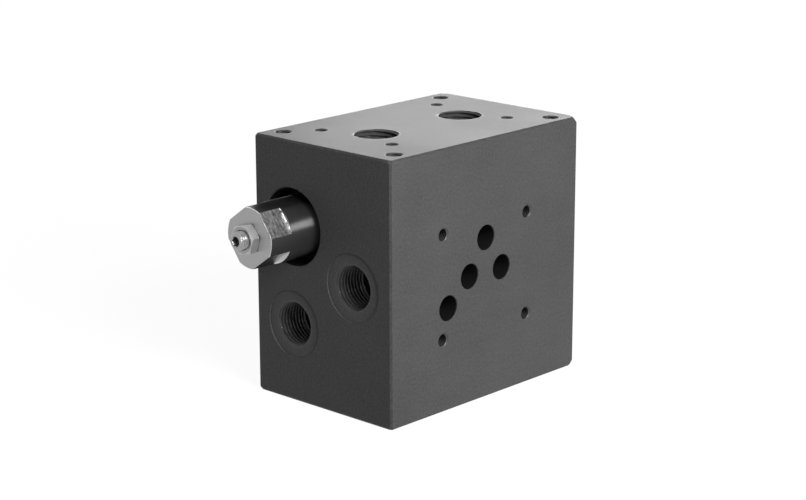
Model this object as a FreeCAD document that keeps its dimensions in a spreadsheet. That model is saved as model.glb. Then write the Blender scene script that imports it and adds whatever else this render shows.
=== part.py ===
"""Hydraulic valve subplate: a drilled steel block with a screw-in pressure relief cartridge.

A directional valve bolts to the front face on a 54 x 46 mm pattern. Tank and pressure lines screw into
the two ports on top, the service lines into the two ports on the left face, and the cartridge on the
same face limits the pressure by letting oil from the pressure side into the tank gallery.

Frame: millimetres, +Z up, origin at the centre of the base face, valve face towards -Y, port face
towards -X. Formulas measure along from the port face, back from the valve face and up from the base,
and on the cartridge they measure inwards from the head's front face.
"""
import FreeCAD, Part

import math
import os
import re

import Sketcher

SIZES = {
    # Block
    "block_length": 120.0,
    "block_depth": 80.0,
    "block_height": 115.0,
    "edge_chamfer": 0.8,
    "corner_cut": 1.7,
    "corner_ball_shift": 0.6,
    # Valve mounting pattern, placed by its centre
    "valve_centre_along": 59.0,
    "valve_centre_up": 55.0,
    "valve_bolt_spacing_x": 54.0,
    "valve_bolt_spacing_z": 46.0,
    "valve_bolt_dia": 6.0,
    "valve_bolt_depth": 16.0,
    "valve_port_dia": 11.2,
    "valve_port_entry": 0.2,
    "pressure_port_rise": 16.7,
    "service_port_rise": 1.6,
    "service_port_across": 10.3,
    "tank_port_drop": 9.5,
    "tank_port_across": 23.8,
    # Tapped holes of the top face, in two rectangles about its centre
    "corner_bolt_spacing_x": 100.0,
    "corner_bolt_spacing_y": 65.0,
    "corner_bolt_dia": 8.0,
    "corner_bolt_depth": 18.0,
    "inner_bolt_spacing_x": 73.4,
    "inner_bolt_spacing_y": 41.7,
    "inner_bolt_shift": 2.1,
    "inner_bolt_dia": 6.0,
    "inner_bolt_depth": 14.0,
    "bolt_entry": 0.2,
    "drill_point_angle": 118.0,
    # Threaded line ports, on top and on the port face
    "port_thread_dia": 20.955,
    "port_thread_depth": 16.0,
    "port_entry": 0.25,
    "spotface_dia": 30.0,
    "spotface_depth": 0.6,
    # Galleries and drillings between the ports
    "gallery_dia": 15.0,
    "gallery_spacing": 53.2,
    "drill_overrun": 1.0,
    "upper_port_back": 22.0,
    "upper_port_up": 57.5,
    "upper_drilling_dia": 9.0,
    "lower_port_rear": 22.5,
    "lower_port_up": 34.5,
    "lower_drilling_dia": 12.0,
    "cross_drilling_dia": 10.0,
    # Relief cartridge cavity; ends are measured from the counterbore's floor
    "relief_rear": 22.0,
    "relief_up": 77.3,
    "counterbore_dia": 34.0,
    "counterbore_depth": 12.0,
    "counterbore_entry": 0.5,
    "shoulder_recess_dia": 25.2,
    "shoulder_recess_depth": 2.4,
    "cavity_thread_dia": 22.0,
    "cavity_thread_end": 17.0,
    "tank_chamber_dia": 26.0,
    "tank_chamber_end": 28.0,
    "nose_bore_dia": 20.0,
    "nose_length": 13.0,
    "pressure_chamber_dia": 16.0,
    "pressure_chamber_length": 10.0,
    # Relief cartridge body
    "head_reach": 24.3,
    "head_dia": 26.6,
    "head_edge": 0.3,
    "flat_across": 23.5,
    "flat_length": 11.9,
    "flat_angle": 54.0,
    "static_gap": 0.04,
    "running_gap": 0.05,
    "shoulder_groove_dia": 19.6,
    "tank_section_dia": 18.8,
    "tank_hole_dia": 5.0,
    "nose_groove_dia": 17.2,
    "nose_groove_start": 4.0,
    "nose_edge": 0.6,
    "front_wall": 10.0,
    "spring_bore_dia": 14.0,
    "seat_bore_dia": 15.0,
    "clip_width": 1.0,
    "clip_groove_dia": 16.4,
    "clip_inner_dia": 12.0,
    "clip_mouth": 2.2,
    "clip_setback": 1.2,
    # Valve seat and poppet
    "seat_length": 11.0,
    "seat_hole_dia": 6.0,
    "seat_mouth_dia": 8.4,
    "seat_entry_dia": 9.0,
    "seat_groove_dia": 12.0,
    "seat_groove_start": 4.0,
    "poppet_stem_dia": 7.6,
    "poppet_stem_length": 8.0,
    "poppet_tip_dia": 3.0,
    "poppet_guide_length": 4.0,
    "poppet_guide_across": 12.2,
    "poppet_closed_gap": 0.03,
    # Pressure spring and its piston
    "spring_wire_dia": 2.5,
    "spring_mean_dia": 10.4,
    "spring_turns": 5.5,
    "spigot_dia": 7.4,
    "spigot_length": 3.5,
    "piston_setback": 5.5,
    "piston_length": 9.0,
    "piston_groove_dia": 11.0,
    "piston_groove_start": 3.0,
    # Seal rings: length along their axis, and how far a groove is longer than what it holds
    "ring_length": 1.7,
    "backup_length": 1.1,
    "groove_play": 0.3,
    # Adjusting screw and lock nut
    "screw_dia": 8.0,
    "screw_reach": 7.7,
    "screw_edge": 0.8,
    "screw_dog_dia": 5.6,
    "screw_dog_length": 3.0,
    "screw_socket_across": 4.0,
    "screw_socket_depth": 5.0,
    "nut_across": 12.0,
    "nut_length": 4.4,
    "nut_edge": 0.7,
    "nut_angle": 18.0,
    # Drilling plugs, sunk below the faces that they close
    "plug_collar_dia": 18.0,
    "plug_collar_length": 2.8,
    "plug_collar_edge": 0.5,
    "plug_tip_edge": 0.6,
    "plug_sink": 0.8,
    "plug_recess_gap": 1.0,
    "plug_thread_dia": 13.157,
    "plug_thread_length": 9.0,
    "plug_runout": 3.0,
    "plug_socket_across": 6.0,
    "plug_socket_depth": 6.0,
    "plug_ring_dia": 16.4,
    "plug_ring_length": 1.2,
}

# Places in the block, worked out from the sizes
TANK_ALONG = "block_length / 2 - gallery_spacing / 2"
PRESSURE_ALONG = "block_length / 2 + gallery_spacing / 2"
GALLERY_BACK = "block_depth / 2"
PRESSURE_UP = "valve_centre_up + pressure_port_rise"
SERVICE_UP = "valve_centre_up + service_port_rise"
TANK_UP = "valve_centre_up - tank_port_drop"
SERVICE_LEFT = "valve_centre_along - service_port_across"
SERVICE_RIGHT = "valve_centre_along + service_port_across"
LOWER_PORT_BACK = "block_depth - lower_port_rear"
RELIEF_BACK = "block_depth - relief_rear"

# Places on the cartridge's axis, from the head's front face
HEAD_END = "head_reach + counterbore_depth"
NOSE_START = f"{HEAD_END} + tank_chamber_end"
NOSE_END = f"{NOSE_START} + nose_length"
CLIP_START = f"{NOSE_END} - clip_setback - clip_width"
SEAT_START = f"{CLIP_START} - seat_length"
STEM_END = f"{SEAT_START} + (seat_mouth_dia - poppet_stem_dia) / 2 - poppet_closed_gap * sqrt(2)"
GUIDE_END = f"{STEM_END} - poppet_stem_length"
SPRING_END = f"{GUIDE_END} - poppet_guide_length"
PISTON_START = "front_wall + piston_setback"
SPRING_START = f"{PISTON_START} + piston_length"
NOSE_GROOVE_LENGTH = "ring_length + backup_length + groove_play"
SEAL_GROOVE_LENGTH = "ring_length + groove_play"

# How a face looks along its drillings: sketch plane, turn of the sketch, offset of its origin
FACES = {
    "port": ("XZ_Plane", 0, ("0", "{up}", "-({back})")),
    "far": ("XZ_Plane", 180, ("block_length", "{up}", "-({back})")),
    "valve": ("YZ_Plane", 0, ("0", "{up}", "{along}")),
    "top": ("YZ_Plane", -90, ("{back}", "block_height", "{along}")),
    "base": ("YZ_Plane", 90, ("{back}", "0", "{along}")),
}

doc = FreeCAD.newDocument("ValveSubplate")
sheet = doc.addObject("Spreadsheet::Sheet", "Sizes")


def fill_sheet():
    """Write each driving size into the sheet, as a plain number under its own alias."""
    for row, (name, value) in enumerate(SIZES.items(), start=1):
        sheet.set(f"A{row}", name)
        sheet.set(f"B{row}", str(value))
        sheet.setAlias(f"B{row}", name)
    doc.recompute()


def bound(text):
    """Turn a formula in the sheet's words into an expression."""
    return re.sub(r"[a-z]+(_[a-z]+)+", lambda word: f"Sizes.{word.group(0)}", text)


def bind(thing, **formulas):
    """Bind properties to formulas; a double underscore stands for a dot."""
    for name, text in formulas.items():
        thing.setExpression(name.replace("__", "."), bound(text))


def new_body(label):
    """Start a part design body under the name of its sub-part."""
    body = doc.addObject("PartDesign::Body", label)
    body.Label = label
    return body


def new_sketch(body, plane, turn=0, offset=("0", "0", "0")):
    """Attach a sketch to one of the body's own planes, turned and then moved by formulas."""
    sketch = body.newObject("Sketcher::SketchObject", f"{body.Label}_sketch")
    support = next(item for item in body.Origin.OriginFeatures if item.Role == plane)
    sketch.AttachmentSupport = (support, "")
    sketch.MapMode = "FlatFace"
    normal = FreeCAD.Vector(0, 0, 1)
    sketch.AttachmentOffset = FreeCAD.Placement(FreeCAD.Vector(), FreeCAD.Rotation(normal, turn))
    for axis, text in zip("xyz", offset):
        sketch.setExpression(f"AttachmentOffset.Base.{axis}", bound(text))
    return sketch


def constrain(sketch, constraint, name, text):
    """Add a dimension to a sketch and bind it to a formula."""
    index = sketch.addConstraint(constraint)
    sketch.renameConstraint(index, name)
    sketch.setExpression(f"Constraints.{name}", bound(text))


def draw_outline(sketch, corners):
    """Draw a closed outline, each corner fixed by two formulas from the sketch's origin."""
    count = len(corners)
    turns = [2 * math.pi * i / count for i in range(count)]
    ring = [FreeCAD.Vector(math.cos(turn), math.sin(turn), 0) for turn in turns]
    for i in range(count):
        sketch.addGeometry(Part.LineSegment(ring[i], ring[(i + 1) % count]))
    for i, (across, rise) in enumerate(corners):
        sketch.addConstraint(Sketcher.Constraint("Coincident", i, 2, (i + 1) % count, 1))
        across_rule = Sketcher.Constraint("DistanceX", -1, 1, i, 1, 1.0)
        constrain(sketch, across_rule, f"across_{i}", across)
        rise_rule = Sketcher.Constraint("DistanceY", -1, 1, i, 1, 1.0)
        constrain(sketch, rise_rule, f"rise_{i}", rise)


def revolve(body, sketch, kind, name):
    """Turn a sketch round its own horizontal axis, as added or removed material."""
    feature = body.newObject(f"PartDesign::{kind}", name)
    feature.Profile = sketch
    feature.ReferenceAxis = (sketch, ["H_Axis"])
    feature.Angle = 360
    sketch.Visibility = False


def turned(body, outline):
    """Turn a piece on the lathe from (length, radius) corners about its X axis."""
    sketch = new_sketch(body, "XY_Plane")
    draw_outline(sketch, outline)
    revolve(body, sketch, "Revolution", f"{body.Label}_turning")


def pocket(body, sketch, length, name):
    """Cut a sketch on the front plane into the piece behind it."""
    cut = body.newObject("PartDesign::Pocket", name)
    cut.Profile = sketch
    cut.Reversed = True
    bind(cut, Length=length)
    sketch.Visibility = False
    return cut


def milled_flats(body, start, across, outer, length, count, angle):
    """Mill equal flats round a turned piece, over a length from a given start."""
    sketch = new_sketch(body, "YZ_Plane", 1, ("0", "0", start))
    bind(sketch, AttachmentOffset__Rotation__Angle=angle)
    near, far = f"({across}) / 2", f"({outer})"
    draw_outline(sketch, [(near, f"-({far})"), (far, f"-({far})"), (far, far), (near, far)])
    cut = pocket(body, sketch, length, f"{body.Label}_flat")
    pattern = body.newObject("PartDesign::PolarPattern", f"{body.Label}_flats")
    pattern.Originals = [cut]
    pattern.Axis = (sketch, ["N_Axis"])
    pattern.Angle = 360
    pattern.Occurrences = count
    body.Tip = pattern


def hexagon_socket(body, across, depth):
    """Sink a hexagon socket into the front end of a turned piece."""
    sketch = new_sketch(body, "YZ_Plane")
    corner = f"{across} / 2 / cos(30)"
    turns = [60 * i for i in range(6)]
    draw_outline(sketch, [(f"{corner} * cos({a})", f"{corner} * sin({a})") for a in turns])
    pocket(body, sketch, depth, f"{body.Label}_socket")


def drill_length(dia):
    """Length of the cone that a twist drill of this diameter leaves below its full bore."""
    return f"({dia}) / 2 / tan(drill_point_angle / 2)"


def bore(body, face, along="0", back="0", up="0", steps=()):
    """Sink a stepped bore from a face: steps are (depth, diameter) corners from the mouth
    inwards, and the last ends in its drill point."""
    plane, turn, offset = FACES[face]
    words = {"along": along, "back": back, "up": up}
    sketch = new_sketch(body, plane, turn, [text.format(**words) for text in offset])
    floor, dia = steps[-1]
    wall = [(depth, f"({width}) / 2") for depth, width in steps]
    draw_outline(sketch, [("0", "0"), *wall, (f"{floor} + {drill_length(dia)}", "0")])
    revolve(body, sketch, "Groove", f"{body.Label}_bore")


def tapped_holes(body, plane, offset, centre, spacing, dia, depth):
    """Drill a rectangle of four countersunk screw holes with pointed floors."""
    sketch = new_sketch(body, plane, 0, offset)
    normal = FreeCAD.Vector(0, 0, 1)
    for i, (side, rise) in enumerate([(-1, -1), (1, -1), (1, 1), (-1, 1)]):
        sketch.addGeometry(Part.Circle(FreeCAD.Vector(side, rise, 0), normal, 0.5))
        constrain(sketch, Sketcher.Constraint("Diameter", i, 1.0), f"dia_{i}", dia)
        across_rule = Sketcher.Constraint("DistanceX", -1, 1, i, 3, 1.0)
        constrain(sketch, across_rule, f"across_{i}", f"{centre[0]} + {side} * {spacing[0]} / 2")
        rise_rule = Sketcher.Constraint("DistanceY", -1, 1, i, 3, 1.0)
        constrain(sketch, rise_rule, f"rise_{i}", f"{centre[1]} + {rise} * {spacing[1]} / 2")
    doc.recompute()
    hole = body.newObject("PartDesign::Hole", f"{body.Label}_holes")
    hole.Profile = sketch
    hole.ThreadType = "None"
    hole.DepthType = "Dimension"
    hole.DrillPoint = "Angled"
    hole.HoleCutType = "Countersink"
    bind(
        hole,
        Diameter=dia,
        Depth=depth,
        DrillPointAngle="drill_point_angle",
        HoleCutDiameter=f"{dia} + 2 * bolt_entry",
        HoleCutCountersinkAngle="90",
    )
    sketch.Visibility = False
    doc.recompute()


def place(thing, along, back, up):
    """Move a finished piece by formulas from the port face, valve face and base."""
    bind(
        thing,
        Placement__Base__x=f"{along} - block_length / 2",
        Placement__Base__y=f"{back} - block_depth / 2",
        Placement__Base__z=up,
    )


def place_on_relief_axis(thing, start="0"):
    """Put a piece on the cartridge's axis, its front end at a length from the head's face."""
    place(thing, f"({start}) - head_reach", RELIEF_BACK, "relief_up")


def line_port_mouth():
    """Steps of a threaded line port on a plain face, down to the end of its thread."""
    return [
        ("0", "port_thread_dia + 2 * port_entry"),
        ("port_entry", "port_thread_dia"),
        ("port_thread_depth", "port_thread_dia"),
    ]


def faced_port_mouth():
    """Steps of a line port whose face is spotfaced first, for the fitting's seal."""
    return [
        ("0", "spotface_dia"),
        ("spotface_depth", "spotface_dia"),
        ("spotface_depth", "port_thread_dia + 2 * port_entry"),
        ("spotface_depth + port_entry", "port_thread_dia"),
        ("port_thread_depth", "port_thread_dia"),
    ]


def drilling_below(dia, floor):
    """Steps from the end of a port's thread down a narrower drilling, by a drill-point cone."""
    cone = f"port_thread_depth + {drill_length('port_thread_dia')} - {drill_length(dia)}"
    return [(cone, dia), (floor, dia)]


def drill_line_ports(body):
    """Sink the tank and pressure galleries from the top and the service lines from the side."""
    tank_floor = f"block_height - ({TANK_UP}) + valve_port_dia / 2 + drill_overrun"
    pressure_floor = f"block_height - ({PRESSURE_UP}) + cross_drilling_dia / 2 + drill_overrun"
    for along, floor in ((TANK_ALONG, tank_floor), (PRESSURE_ALONG, pressure_floor)):
        steps = line_port_mouth() + drilling_below("gallery_dia", floor)
        bore(body, "top", along=along, back=GALLERY_BACK, steps=steps)
    upper = faced_port_mouth() + drilling_below("upper_drilling_dia", SERVICE_LEFT)
    bore(body, "port", back="upper_port_back", up="upper_port_up", steps=upper)
    lower = faced_port_mouth() + drilling_below("lower_drilling_dia", SERVICE_RIGHT)
    bore(body, "port", back=LOWER_PORT_BACK, up="lower_port_up", steps=lower)


def drill_valve_face(body):
    """Drill the valve's four ports, each as far as the line that it serves."""
    tank_port = "valve_centre_along - tank_port_across"
    for along, up, floor in (
        ("valve_centre_along", PRESSURE_UP, RELIEF_BACK),
        (SERVICE_LEFT, SERVICE_UP, "upper_port_back"),
        (SERVICE_RIGHT, SERVICE_UP, LOWER_PORT_BACK),
        (tank_port, TANK_UP, GALLERY_BACK),
    ):
        mouth = [("0", "valve_port_dia + 2 * valve_port_entry"), ("valve_port_entry", "valve_port_dia")]
        steps = [*mouth, (floor, "valve_port_dia")]
        bore(body, "valve", along=along, up=up, steps=steps)


def drill_plugged_lines(body):
    """Drill the two cross lines that the plugs close, each with a sunk seat for its collar."""
    recess = "plug_sink + plug_collar_length"
    thread_floor = f"{recess} + plug_thread_length + plug_runout"
    mouth = [
        ("0", "plug_collar_dia + 2 * plug_recess_gap"),
        (recess, "plug_collar_dia + 2 * plug_recess_gap"),
        (recess, "plug_thread_dia"),
        (thread_floor, "plug_thread_dia"),
    ]
    lead = f"{thread_floor} + {drill_length('plug_thread_dia')} - {drill_length('cross_drilling_dia')}"
    cross = [(lead, "cross_drilling_dia"), ("block_length - valve_centre_along", "cross_drilling_dia")]
    bore(body, "far", back=GALLERY_BACK, up=PRESSURE_UP, steps=mouth + cross)
    rise = [(lead, "cross_drilling_dia"), (SERVICE_UP, "cross_drilling_dia")]
    bore(body, "base", along=SERVICE_RIGHT, back=LOWER_PORT_BACK, steps=mouth + rise)


def drill_relief_cavity(body):
    """Bore the cartridge's cavity: counterbore, seal recess, thread, tank chamber, nose, pressure."""
    floor = "counterbore_depth"
    nose = f"{floor} + tank_chamber_end + nose_length"
    tank_taper = "(tank_chamber_dia - nose_bore_dia) / 2"
    steps = [
        ("0", "counterbore_dia + 2 * counterbore_entry"),
        ("counterbore_entry", "counterbore_dia"),
        (floor, "counterbore_dia"),
        (floor, "shoulder_recess_dia"),
        (f"{floor} + shoulder_recess_depth", "shoulder_recess_dia"),
        (f"{floor} + shoulder_recess_depth", "cavity_thread_dia"),
        (f"{floor} + cavity_thread_end", "cavity_thread_dia"),
        (f"{floor} + cavity_thread_end", "tank_chamber_dia"),
        (f"{floor} + tank_chamber_end - {tank_taper}", "tank_chamber_dia"),
        (f"{floor} + tank_chamber_end", "nose_bore_dia"),
        (nose, "nose_bore_dia"),
        (nose, "pressure_chamber_dia"),
        (f"{nose} + pressure_chamber_length", "pressure_chamber_dia"),
    ]
    bore(body, "port", back=RELIEF_BACK, up="relief_up", steps=steps)


def drill_screw_holes(body):
    """Drill the valve's screw holes and the two rectangles of holes round the top ports."""
    tapped_holes(
        body,
        "XZ_Plane",
        ("0", "0", "0"),
        ("valve_centre_along", "valve_centre_up"),
        ("valve_bolt_spacing_x", "valve_bolt_spacing_z"),
        "valve_bolt_dia",
        "valve_bolt_depth",
    )
    for group, shift in (("corner", "0"), ("inner", "inner_bolt_shift")):
        tapped_holes(
            body,
            "XY_Plane",
            ("0", "0", "block_height"),
            ("block_length / 2", f"block_depth / 2 + {shift}"),
            (f"{group}_bolt_spacing_x", f"{group}_bolt_spacing_y"),
            f"{group}_bolt_dia",
            f"{group}_bolt_depth",
        )


def make_block():
    """Mill the block, break its edges, drill every face, then soften the eight corners.

    The far end's corners have lost more than the near end's, so the ball that dresses them sits off centre.
    """
    body = new_body("block_machining")
    sketch = new_sketch(body, "XY_Plane")
    length, depth = "block_length", "block_depth"
    draw_outline(sketch, [("0", "0"), (length, "0"), (length, depth), ("0", depth)])
    pad = body.newObject("PartDesign::Pad", "block_pad")
    pad.Profile = sketch
    bind(pad, Length="block_height")
    sketch.Visibility = False
    doc.recompute()
    chamfer = body.newObject("PartDesign::Chamfer", "block_edges")
    chamfer.Base = (pad, [f"Edge{i + 1}" for i in range(len(pad.Shape.Edges))])
    bind(chamfer, Size="edge_chamfer")
    doc.recompute()
    drill_line_ports(body)
    drill_valve_face(body)
    drill_plugged_lines(body)
    drill_relief_cavity(body)
    drill_screw_holes(body)
    ball = doc.addObject("Part::Sphere", "corner_ball")
    bind(
        ball,
        Radius="sqrt(block_length^2 + block_depth^2 + block_height^2) / 2 - corner_cut",
        Placement__Base__x="block_length / 2 - corner_ball_shift",
        Placement__Base__y="block_depth / 2",
        Placement__Base__z="block_height / 2",
    )
    block = doc.addObject("Part::Common", "subplate_block")
    block.Base = body
    block.Tool = ball
    place(block, "0", "0", "0")
    return block


def make_relief_body():
    """Turn the cartridge's body in one piece: flatted head, shoulder, thread, tank section, nose."""
    body = new_body("relief_body")
    head = "head_dia / 2"
    thread = "cavity_thread_dia / 2 - static_gap"
    nose = "nose_bore_dia / 2 - static_gap"
    thread_start = f"{HEAD_END} + shoulder_recess_depth"
    thread_end = f"{HEAD_END} + cavity_thread_end"
    thread_lead = "(cavity_thread_dia - tank_section_dia) / 2 - static_gap"
    nose_lead = "(nose_bore_dia - tank_section_dia) / 2 - static_gap"
    groove_start = f"{NOSE_START} + nose_groove_start"
    groove_end = f"{groove_start} + {NOSE_GROOVE_LENGTH}"
    screw_hole = "screw_dia / 2 + running_gap"
    chamber = "spring_bore_dia / 2"
    seat_bore = "seat_bore_dia / 2"
    clip_end = f"{CLIP_START} + clip_width"
    turned(
        body,
        [
            ("0", screw_hole),
            ("0", f"{head} - head_edge"),
            ("head_edge", head),
            (HEAD_END, head),
            (HEAD_END, "shoulder_groove_dia / 2"),
            (thread_start, "shoulder_groove_dia / 2"),
            (thread_start, thread),
            (f"{thread_end} - ({thread_lead})", thread),
            (thread_end, "tank_section_dia / 2"),
            (f"{NOSE_START} + nose_edge - ({nose_lead})", "tank_section_dia / 2"),
            (f"{NOSE_START} + nose_edge", nose),
            (groove_start, nose),
            (groove_start, "nose_groove_dia / 2"),
            (groove_end, "nose_groove_dia / 2"),
            (groove_end, nose),
            (f"{NOSE_END} - nose_edge", nose),
            (NOSE_END, f"{nose} - nose_edge"),
            (NOSE_END, seat_bore),
            (clip_end, seat_bore),
            (clip_end, "clip_groove_dia / 2"),
            (CLIP_START, "clip_groove_dia / 2"),
            (CLIP_START, seat_bore),
            (SEAT_START, seat_bore),
            (SEAT_START, chamber),
            ("front_wall", chamber),
            ("front_wall", screw_hole),
        ],
    )
    milled_flats(body, "0", "flat_across", "head_dia", "flat_length", 4, "flat_angle")
    sketch = new_sketch(body, "XZ_Plane")
    sketch.addGeometry(Part.Circle(FreeCAD.Vector(1, 0, 0), FreeCAD.Vector(0, 0, 1), 0.5))
    sketch.addConstraint(Sketcher.Constraint("PointOnObject", 0, 3, -1))
    constrain(sketch, Sketcher.Constraint("Diameter", 0, 1.0), "dia", "tank_hole_dia")
    middle = f"({GUIDE_END} + {STEM_END}) / 2"
    constrain(sketch, Sketcher.Constraint("DistanceX", -1, 1, 0, 3, 1.0), "across", middle)
    hole = body.newObject("PartDesign::Pocket", "relief_body_tank_hole")
    hole.Profile = sketch
    hole.Midplane = True
    bind(hole, Length="head_dia")
    sketch.Visibility = False
    pattern = body.newObject("PartDesign::PolarPattern", "relief_body_tank_holes")
    pattern.Originals = [hole]
    pattern.Axis = (sketch, ["H_Axis"])
    pattern.Angle = 90
    pattern.Occurrences = 2
    pattern.Mode = "Spacing"
    pattern.Offset = 90
    body.Tip = pattern
    place_on_relief_axis(body)
    return body


def make_valve_seat():
    """Turn the seat: a sleeve with a coned mouth, held against its shoulder by the clip."""
    body = new_body("valve_seat")
    outer = "seat_bore_dia / 2 - static_gap"
    hole = "seat_hole_dia / 2"
    mouth = "seat_mouth_dia / 2"
    entry = "seat_entry_dia / 2"
    groove_end = f"seat_groove_start + {SEAL_GROOVE_LENGTH}"
    turned(
        body,
        [
            ("0", mouth),
            ("0", outer),
            ("seat_groove_start", outer),
            ("seat_groove_start", "seat_groove_dia / 2"),
            (groove_end, "seat_groove_dia / 2"),
            (groove_end, outer),
            ("seat_length", outer),
            ("seat_length", entry),
            (f"seat_length - ({entry} - {hole})", hole),
            (f"{mouth} - {hole}", hole),
        ],
    )
    place_on_relief_axis(body, SEAT_START)
    return body


def make_seat_clip():
    """Make the open spring ring that holds the seat in the nose."""
    body = new_body("seat_retaining_ring")
    inner = "clip_inner_dia / 2"
    outer = "clip_groove_dia / 2 - static_gap"
    turned(body, [("0", inner), ("0", outer), ("clip_width", outer), ("clip_width", inner)])
    sketch = new_sketch(body, "YZ_Plane")
    reach = "clip_groove_dia"
    mouth = "clip_mouth"
    draw_outline(
        sketch,
        [("0", f"-{mouth} / 2"), (reach, f"-{mouth}"), (reach, mouth), ("0", f"{mouth} / 2")],
    )
    pocket(body, sketch, "clip_width", "seat_retaining_ring_mouth")
    place_on_relief_axis(body, CLIP_START)
    return body


def make_poppet():
    """Turn the poppet: spigot for the spring, flatted guide, stem and 45 degree cone."""
    body = new_body("relief_poppet")
    guide = "spring_bore_dia / 2 - running_gap"
    stem = "poppet_stem_dia / 2"
    tip = "poppet_tip_dia / 2"
    guide_start = "spigot_length"
    guide_end = f"{guide_start} + poppet_guide_length"
    stem_end = f"{guide_end} + poppet_stem_length"
    turned(
        body,
        [
            ("0", "0"),
            ("0", "spigot_dia / 2"),
            (guide_start, "spigot_dia / 2"),
            (guide_start, guide),
            (guide_end, guide),
            (guide_end, stem),
            (stem_end, stem),
            (f"{stem_end} + {stem} - {tip}", tip),
            (f"{stem_end} + {stem} - {tip}", "0"),
        ],
    )
    milled_flats(
        body, guide_start, "poppet_guide_across", "spring_bore_dia", "poppet_guide_length", 3, "flat_angle"
    )
    place_on_relief_axis(body, f"{SPRING_END} - spigot_length")
    return body


def make_spring():
    """Coil the pressure spring between the piston and the poppet's guide.

    The wire's round section is simplified to a hexagon, with flats towards both ends.
    """
    body = new_body("pressure_spring")
    sketch = new_sketch(body, "XY_Plane")
    half = "spring_wire_dia / 2"
    turns = [60 * i + 30 for i in range(6)]
    section = [
        (f"{half} * cos(30) + {half} * cos({a})", f"spring_mean_dia / 2 + {half} * sin({a})")
        for a in turns
    ]
    draw_outline(sketch, section)
    coil = body.newObject("PartDesign::AdditiveHelix", "pressure_spring_coil")
    coil.Profile = sketch
    coil.ReferenceAxis = (sketch, ["H_Axis"])
    coil.Mode = "height-turns-angle"
    bind(
        coil,
        Height=f"{SPRING_END} - ({SPRING_START}) - spring_wire_dia * cos(30)",
        Turns="spring_turns",
    )
    sketch.Visibility = False
    place_on_relief_axis(body, SPRING_START)
    return body


def make_piston():
    """Turn the piston that carries the spring and seals its chamber from the screw's thread."""
    body = new_body("spring_piston")
    outer = "spring_bore_dia / 2 - running_gap"
    groove_end = f"piston_groove_start + {NOSE_GROOVE_LENGTH}"
    spigot = "spigot_dia / 2"
    turned(
        body,
        [
            ("0", "0"),
            ("0", outer),
            ("piston_groove_start", outer),
            ("piston_groove_start", "piston_groove_dia / 2"),
            (groove_end, "piston_groove_dia / 2"),
            (groove_end, outer),
            ("piston_length", outer),
            ("piston_length", spigot),
            ("piston_length + spigot_length", spigot),
            ("piston_length + spigot_length", "0"),
        ],
    )
    place_on_relief_axis(body, PISTON_START)
    return body


def make_screw():
    """Turn the adjusting screw: chamfered tip with its socket, thread, dog point on the piston."""
    body = new_body("adjusting_screw")
    thread = "screw_dia / 2"
    dog = "screw_dog_dia / 2"
    length = f"screw_reach + {PISTON_START}"
    turned(
        body,
        [
            ("0", "0"),
            ("0", f"{thread} - screw_edge"),
            ("screw_edge", thread),
            (f"{length} - screw_dog_length - ({thread} - {dog})", thread),
            (f"{length} - screw_dog_length", dog),
            (length, dog),
            (length, "0"),
        ],
    )
    hexagon_socket(body, "screw_socket_across", "screw_socket_depth")
    place_on_relief_axis(body, "-screw_reach")
    return body


def make_lock_nut():
    """Make the thin lock nut: a disc chamfered on both faces, milled to a hexagon."""
    body = new_body("lock_nut")
    corner = "nut_across / 2 / cos(30)"
    face = f"{corner} - nut_edge / tan(30)"
    hole = "screw_dia / 2 + running_gap"
    turned(
        body,
        [
            ("0", f"{hole} + nut_edge / 2"),
            ("0", face),
            ("nut_edge", corner),
            ("nut_length - nut_edge", corner),
            ("nut_length", face),
            ("nut_length", hole),
            ("nut_edge / 2", hole),
        ],
    )
    milled_flats(body, "0", "nut_across", "nut_across", "nut_length", 6, "nut_angle")
    place_on_relief_axis(body, "-nut_length")
    return body


def make_ring(label, length, inner_dia, outer_dia, rounded=True):
    """Make a ring in its groove: a seal ring's flanks bulge, a back-up ring's stay square."""
    body = new_body(label)
    inner, outer = f"({inner_dia}) / 2", f"({outer_dia}) / 2"
    square = [("0", inner), ("0", outer), (length, outer), (length, inner)]
    middle = f"({inner} + {outer}) / 2"
    bulge = f"({length}) / 4"
    bulging = [
        ("0", middle),
        (bulge, outer),
        (f"{length} - {bulge}", outer),
        (length, middle),
        (f"{length} - {bulge}", inner),
        (bulge, inner),
    ]
    turned(body, bulging if rounded else square)
    return body


def make_cartridge_rings():
    """Make the cartridge's seal rings and back-up rings, each from the groove that holds it."""
    gap = "2 * static_gap"
    nose_inner, nose_outer = f"nose_groove_dia + {gap}", f"nose_bore_dia - {gap}"
    nose_ring = f"{NOSE_START} + nose_groove_start + backup_length + groove_play / 2"
    nose_backup = f"{NOSE_START} + nose_groove_start + groove_play / 4"
    bore_outer = "spring_bore_dia - 2 * running_gap"
    piston_inner = f"piston_groove_dia + {gap}"
    piston_groove = f"{PISTON_START} + piston_groove_start"
    seat_inner, seat_outer = f"seat_groove_dia + {gap}", f"seat_bore_dia - {gap}"
    shoulder_inner = f"shoulder_groove_dia + {gap}"
    shoulder_outer = f"shoulder_recess_dia - {gap}"
    rings = [
        ("shoulder_seal_ring", "shoulder_recess_depth - groove_play", shoulder_inner,
         shoulder_outer, True, f"{HEAD_END} + groove_play / 2"),
        ("nose_seal_ring", "ring_length", nose_inner, nose_outer, True, nose_ring),
        ("nose_backup_ring", "backup_length", nose_inner, nose_outer, False, nose_backup),
        ("seat_seal_ring", "ring_length", seat_inner, seat_outer, True,
         f"{SEAT_START} + seat_groove_start + groove_play / 2"),
        ("piston_seal_ring", "ring_length", piston_inner, bore_outer, True,
         f"{piston_groove} + backup_length + groove_play / 2"),
        ("piston_backup_ring", "backup_length", piston_inner, bore_outer, False,
         f"{piston_groove} + groove_play / 4"),
    ]
    pieces = []
    for label, length, inner, outer, rounded, start in rings:
        ring = make_ring(label, length, inner, outer, rounded)
        place_on_relief_axis(ring, start)
        pieces.append(ring)
    return pieces


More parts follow.
